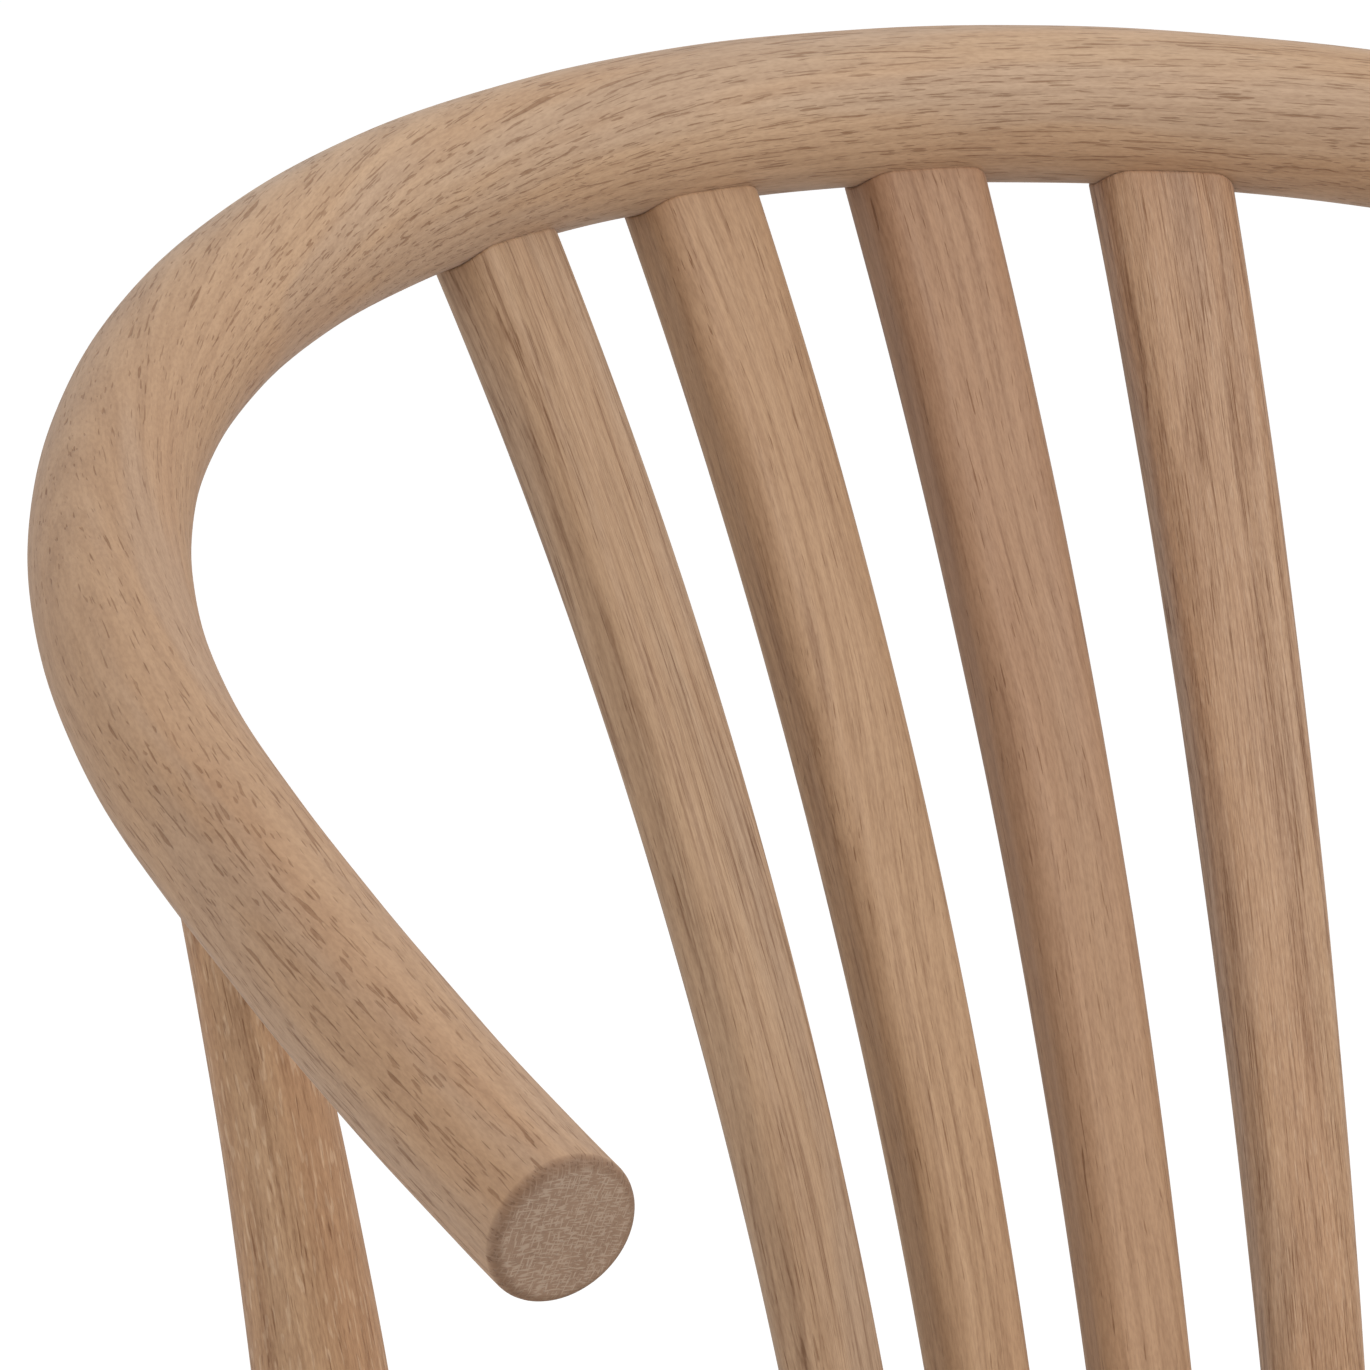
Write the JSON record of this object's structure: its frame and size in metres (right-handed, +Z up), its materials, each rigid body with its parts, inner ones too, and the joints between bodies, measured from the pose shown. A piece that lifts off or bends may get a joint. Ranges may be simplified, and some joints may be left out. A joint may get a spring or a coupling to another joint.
{
  "type": "dining armchair",
  "caption": "Windsor style oak dining armchair: a bent round rail makes the arms and back, over fanned bent slats, a dished wooden seat and splayed legs.",
  "frame": {"origin": "on the floor under the middle of the chair's bounding box", "axes": "+Z up, the sitter faces -Y, +X to the right of a viewer who faces the chair"},
  "size_m": [0.5926, 0.5399, 0.7995],
  "materials": {
    "oak_rail": "pale matt oiled oak, open pores",
    "oak_slats": "pale matt oiled oak",
    "oak_posts": "pale matt oiled oak",
    "oak_seat": "pale matt oiled oak",
    "oak_legs": "pale matt oiled oak",
    "beech_dowels": "plain beech, hidden",
    "glide_nylon": "matt nylon"
  },
  "bodies": {
    "root": {"arm_post_left": "oak_posts", "arm_post_right": "oak_posts", "back_leg_left": "oak_legs", "back_leg_right": "oak_legs", "back_slat_left_inner": "oak_slats", "back_slat_left_outer": "oak_slats", "back_slat_right_inner": "oak_slats", "back_slat_right_outer": "oak_slats", "bent_rail": "oak_rail", "cross_stretcher": "oak_legs", "foot_glides": "glide_nylon", "front_leg_left": "oak_legs", "front_leg_right": "oak_legs", "seat_board_left": "oak_seat", "seat_board_middle": "oak_seat", "seat_board_right": "oak_seat", "seat_dowels": "beech_dowels", "side_stretcher_left": "oak_legs", "side_stretcher_right": "oak_legs"}
  },
  "joints": []
}
